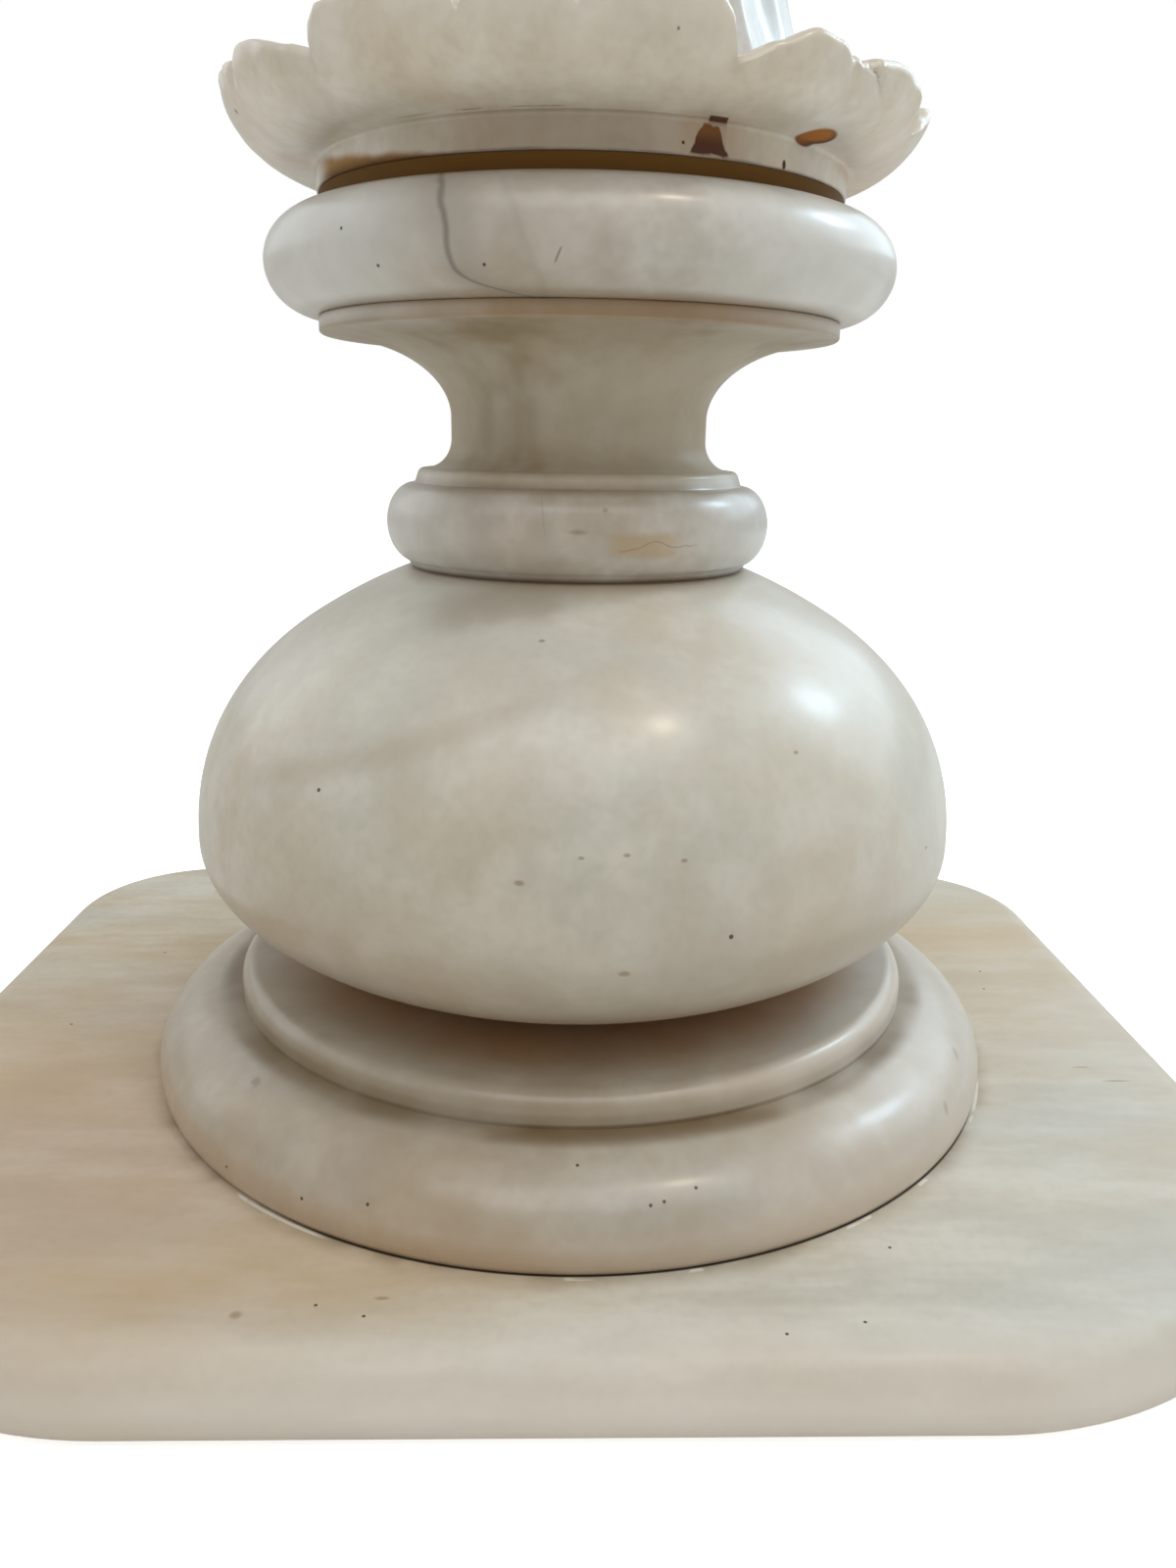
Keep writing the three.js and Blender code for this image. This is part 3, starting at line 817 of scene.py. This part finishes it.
def cup_finish():
    """Pale stone with glue, soaked brown patches, a small opening on the foot, painted shade on the foot
    and a painted glow on the right.
    """
    stone = Finish("leaf_alabaster")
    colour = alabaster(stone, LEAF, 81.0, 13.0)
    height = stone.z - Z_CUP * MM
    colour = stone.mix(stone.rise(height, 0.011, 0.019) * 0.3, colour, tint("e6e1d6"))
    front = stone.fall(stone.y, -0.01, 0.0)
    foot = stone.rise(stone.radius, 0.054, 0.0551) * stone.fall(stone.radius, 0.0562, 0.0572)
    # Painted shade on the front of the foot, under the bowl.
    dull = foot * stone.near(stone.azimuth, -0.05, 0.5, 0.7)
    colour = stone.mix(dull * 0.5, colour, tint("806648"))
    uneven = stone.ragged(130, 82.0, 0.0016)
    wedge = (-0.42 - stone.azimuth) * 0.006 + uneven
    stained = stone.fall(height - wedge, -0.0012, 0.0006) * stone.rise(stone.azimuth, -1.3, -1.05)
    stained = stained * foot * front
    colour = stone.mix(stained * 0.85, colour, tint("a07428"))
    colour = stone.mix(stained * stone.fall(height, 0.0004, 0.0024) * 0.7, colour, tint("6b4208"))
    joint = stone.fall(height + uneven * 0.4, 0.0001, 0.0007) * foot * front
    colour = stone.mix(joint * 0.6, colour, tint("3d2408"))
    crease = stone.near(stone.radius, 0.0581, 0.0003, 0.7) * stone.near(stone.azimuth, -0.3, 0.27, 0.3)
    crease = crease * stone.rise(stone.noise(160, 85.0), 0.42, 0.55)
    colour = stone.mix(crease * stone.fall(height, 0.0075, 0.0085) * 0.6, colour, tint("4c4038"))
    around = (stone.azimuth - math.radians(22.6)) * CUP_FOOT * MM
    ragged_edge = stone.ragged(420, 83.0, 0.0014)
    block = stone.fall(abs(around + ragged_edge) + (height - 0.0008) * 0.5, 0.0036, 0.004)
    block = block * stone.near(height + ragged_edge, 0.0029, 0.0024, 0.12) * foot
    bar = stone.near(stone.x, 0.0227, 0.0017, 0.12) * stone.near(stone.radius, 0.0569, 0.0012, 0.15)
    bar = bar * stone.fall(height, 0.0072, 0.008)
    drips = stone.any_of([
        stone.spot((36.1, -42.3, 211.5), (0.5, 0.5, 0.8), 0.25),
        stone.spot((16.6, -53.1, 212.6), (0.3, 0.3, 0.3), 0.4),
    ])
    soaked = stone.spot((21.5, -51.5, 213.5), (6, 6, 4), 0.8)
    colour = stone.mix(soaked * foot * 0.35, colour, tint("b07f4a"))
    patches = stone.any_of([block, bar, drips]) * front
    colour = stone.mix(patches * 0.95, colour, tint("4f2206"))
    colour = stone.mix(block * stone.rise(height, 0.002, 0.0046) * front * 0.6, colour, tint("93612c"))
    opening = stone.spot((41.9, -40.8, 216.5), (3.9, 4.2, 1.6), 0.1)
    deep = stone.spot((41.8, -41.8, 216.5), (3.3, 3.2, 1.5), 0.4)
    colour = stone.mix(opening * 0.95, colour, tint("5a2c06"))
    colour = stone.mix(deep, colour, tint("b06c20"))
    # A painted warm glow on the right of the cup, as if light shone through the stone.
    painted_glow = stone.spot((56, -8, 215.6), (12, 20, 4), 0.8)
    colour = stone.mix(painted_glow * 0.45, colour, tint("c9975a"))
    side_stain = stone.spot((-60, -15, 215.4), (6, 8, 1.6), 0.7, stone.ragged(150, 84.0, 1.2))
    colour = stone.mix(side_stain * 0.5, colour, tint("a87b45"))
    holes = [(-67.1, -23.9, 222.1, 0.5), (13.7, -71.2, 224.8, 0.35), (60.1, -40.7, 225.2, 0.6)]
    placed = [stone.spot((x, y, z), (s, s, s * 1.3), 0.35) for x, y, z, s in holes]
    pits = stone.any_of(placed + [stone.pits(45, 0.06, 0.3, 9.0)])
    return surface(stone, colour, pits, 81.0, stains=stone.any_of([stained, patches, opening]))


def shaft_finish():
    stone = Finish("white_alabaster")
    colour = alabaster(stone, WHITE, 101.0, 12.0, (1, 1, 0.35))
    streak = stone.noise(60, 103.0, 3, 0.6, (1, 1, 0.1))
    colour = stone.mix(stone.rise(streak, 0.5, 0.75) * 0.3, colour, tint("aeb3b5"))
    pits = stone.pits(40, 0.05, 0.3, 11.0)
    return surface(stone, colour, pits, 101.0)


def top_slab_finish():
    stone = Finish("banded_alabaster_top")
    across, lean = (0.45, 1.4, 1.4), -0.05
    colour = alabaster(stone, BANDED, 121.0, 9.0, across, lean)
    streak = stone.noise(24, 125.0, 3, 0.6, (0.25, 2.4, 2.4), lean)
    colour = stone.mix(stone.rise(streak, 0.46, 0.74) * 0.35, colour, tint("b7a98d"))
    pits = stone.pits(42, 0.12, 0.35, 13.0)
    return surface(stone, colour, pits, 121.0)


# The pieces on the frame

def fit(piece, node, material):
    """Gives a piece its stone and puts it in place of a solid of the frame."""
    piece.data.materials.clear()
    piece.data.materials.append(material)
    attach(piece, "root")
    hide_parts(node)


fit(
    slab(
        "plinth_stone", Vector((0, 0, 0)),
        width=306, depth=244, thick=18, front_corner=78, back_corner=40,
    ),
    "plinth", plinth_finish(),
)
fit(turned("base_ring_stone", BASE_RING), "base_ring", ring_finish())
fit(turned("ball_stone", ball_profile()), "ball", ball_finish())
fit(
    turned("stem_stone", stem_profile(Z_STEM, BEDDED_FOOT)),
    "stem", stem_finish("veined_alabaster", 61.0, Z_STEM, marked=True),
)
fit(
    shaped("leaf_cup_stone", CUP_SIDES, CUP_ROWS, leaf_cup_place, angle=45),
    "leaf_cup", cup_finish(),
)
fit(
    shaped("shaft_stone", SHAFT_SIDES, len(SHAFT_LEVELS), shaft_place, angle=40),
    "shaft", shaft_finish(),
)
fit(
    turned("capital_stone", stem_profile(Z_CAPITAL, FLAT_FOOT)),
    "capital",
    stem_finish("veined_alabaster_capital", 65.0, Z_CAPITAL, marked=False),
)
fit(
    slab(
        "top_slab_stone", STACK_AT + Vector((0, 0, Z_SLAB * MM)),
        width=260, depth=208, thick=18, front_corner=36, back_corner=36,
    ),
    "top_slab", top_slab_finish(),
)


# Floor, light and camera

FLOOR_WHITE = (0.93, 0.93, 0.925, 1)
FLOOR_GLOW = 0.75
FLOOR_BOUNCE = (0.84, 0.82, 0.78, 1)


def pale_floor():
    """White to look at; what it throws back on the stone is duller."""
    material = bpy.data.materials.new("pale_floor")
    material.use_nodes = True
    nodes = material.node_tree.nodes
    links = material.node_tree.links
    white = nodes["Principled BSDF"]
    white.inputs["Base Color"].default_value = FLOOR_WHITE
    white.inputs["Roughness"].default_value = 0.8
    white.inputs["Emission Color"].default_value = (1, 1, 1, 1)
    white.inputs["Emission Strength"].default_value = FLOOR_GLOW
    dull = nodes.new("ShaderNodeBsdfDiffuse")
    dull.inputs["Color"].default_value = FLOOR_BOUNCE
    sight = nodes.new("ShaderNodeLightPath")
    blend = nodes.new("ShaderNodeMixShader")
    links.new(sight.outputs["Is Camera Ray"], blend.inputs[0])
    links.new(dull.outputs[0], blend.inputs[1])
    links.new(white.outputs[0], blend.inputs[2])
    links.new(blend.outputs[0], nodes["Material Output"].inputs["Surface"])
    return material


bpy.ops.object.select_all(action="DESELECT")
bpy.ops.mesh.primitive_circle_add(vertices=96, radius=6, fill_type="NGON", location=(0, 0, 0))
floor = bpy.context.object
floor.name = "floor"
floor.data.materials.append(pale_floor())

scene = bpy.context.scene
scene.view_settings.view_transform = "Standard"
scene.view_settings.look = "None"

AMBIENT = (0.56, 0.55, 0.52, 1)
AMBIENT_FRONT = (0.40, 0.37, 0.33, 1)


def soft_room():
    """White to look at; the light it gives is grey, and duller from the front."""
    world = bpy.data.worlds.new("soft_room")
    world.use_nodes = True
    nodes = world.node_tree.nodes
    links = world.node_tree.links
    room = nodes["Background"]
    direction = nodes.new("ShaderNodeTexCoord")
    parts = nodes.new("ShaderNodeSeparateXYZ")
    links.new(direction.outputs["Generated"], parts.inputs[0])
    backwards = nodes.new("ShaderNodeMapRange")
    backwards.inputs["From Min"].default_value = -0.9
    backwards.inputs["From Max"].default_value = 0.1
    links.new(parts.outputs["Y"], backwards.inputs["Value"])
    dimmed = nodes.new("ShaderNodeMix")
    dimmed.data_type = "RGBA"
    dimmed.inputs[6].default_value = AMBIENT_FRONT
    dimmed.inputs[7].default_value = AMBIENT
    links.new(backwards.outputs[0], dimmed.inputs[0])
    links.new(dimmed.outputs[2], room.inputs["Color"])
    backdrop = nodes.new("ShaderNodeBackground")
    backdrop.inputs["Color"].default_value = (1, 1, 1, 1)
    sight = nodes.new("ShaderNodeLightPath")
    blend = nodes.new("ShaderNodeMixShader")
    links.new(sight.outputs["Is Camera Ray"], blend.inputs[0])
    links.new(room.outputs[0], blend.inputs[1])
    links.new(backdrop.outputs[0], blend.inputs[2])
    links.new(blend.outputs[0], nodes["World Output"].inputs["Surface"])
    return world


scene.world = soft_room()

LIT_POINT = Vector((0, 0, 0.1))


def light(name, azimuth, elevation, far, wide, high, power, colour):
    """A soft panel that faces a point inside the ball, with its distance and sizes in metres."""
    data = bpy.data.lights.new(name, "AREA")
    data.shape = "RECTANGLE"
    data.size = wide
    data.size_y = high
    data.energy = power
    data.color = colour
    lamp = bpy.data.objects.new(name, data)
    scene.collection.objects.link(lamp)
    turn, lift = math.radians(azimuth), math.radians(elevation)
    towards = Vector((
        math.cos(lift) * math.sin(turn), -math.cos(lift) * math.cos(turn), math.sin(lift)
    ))
    lamp.location = LIT_POINT + towards * far
    lamp.rotation_euler = towards.to_track_quat("Z", "Y").to_euler()


light("window", 112, 37, 1.6, 0.25, 0.3, 3.0, (0.62, 0.84, 1.0))
light("window_glow", 122, 30, 1.8, 1.7, 1.1, 9.0, (0.70, 0.87, 1.0))
light("high_panel", 8, 62, 1.9, 1.9, 1.0, 9.5, (0.97, 0.97, 1.0))
light("side_panel", -122, 26, 1.8, 1.4, 1.1, 3.2, (0.90, 0.96, 1.0))
light("lamp", 53, 65, 1.3, 0.09, 0.09, 1.4, (1.0, 0.86, 0.68))

# Camera: the photograph's place, found from the rings of the turned stone
SENSOR = 36
PICTURE_LONG_SIDE = 1600
FOCAL_PIXELS = 1250
CAMERA_AWAY = 0.287
CAMERA_HEIGHT = 0.1639
PITCH, YAW, ROLL, PLINTH_TURN = (math.radians(a) for a in (15.96, 0.67, -0.91, 0.94))

heading = YAW + PLINTH_TURN
ahead = Vector((
    math.sin(heading) * math.cos(PITCH), math.cos(heading) * math.cos(PITCH), -math.sin(PITCH)
))
level = Vector((math.cos(heading), -math.sin(heading), 0))
down = ahead.cross(level)
right = level * math.cos(ROLL) + down * math.sin(ROLL)
up = level * math.sin(ROLL) - down * math.cos(ROLL)

camera_data = bpy.data.cameras.new("camera")
camera_data.sensor_width = SENSOR
camera_data.lens = FOCAL_PIXELS / PICTURE_LONG_SIDE * SENSOR
camera_data.clip_start = 0.01
camera = bpy.data.objects.new("camera", camera_data)
scene.collection.objects.link(camera)
pose = Matrix((right, up, -ahead)).transposed().to_4x4()
pose.translation = STACK_AT + Vector((
    -CAMERA_AWAY * math.sin(PLINTH_TURN), -CAMERA_AWAY * math.cos(PLINTH_TURN), CAMERA_HEIGHT
))
camera.matrix_world = pose
scene.camera = camera
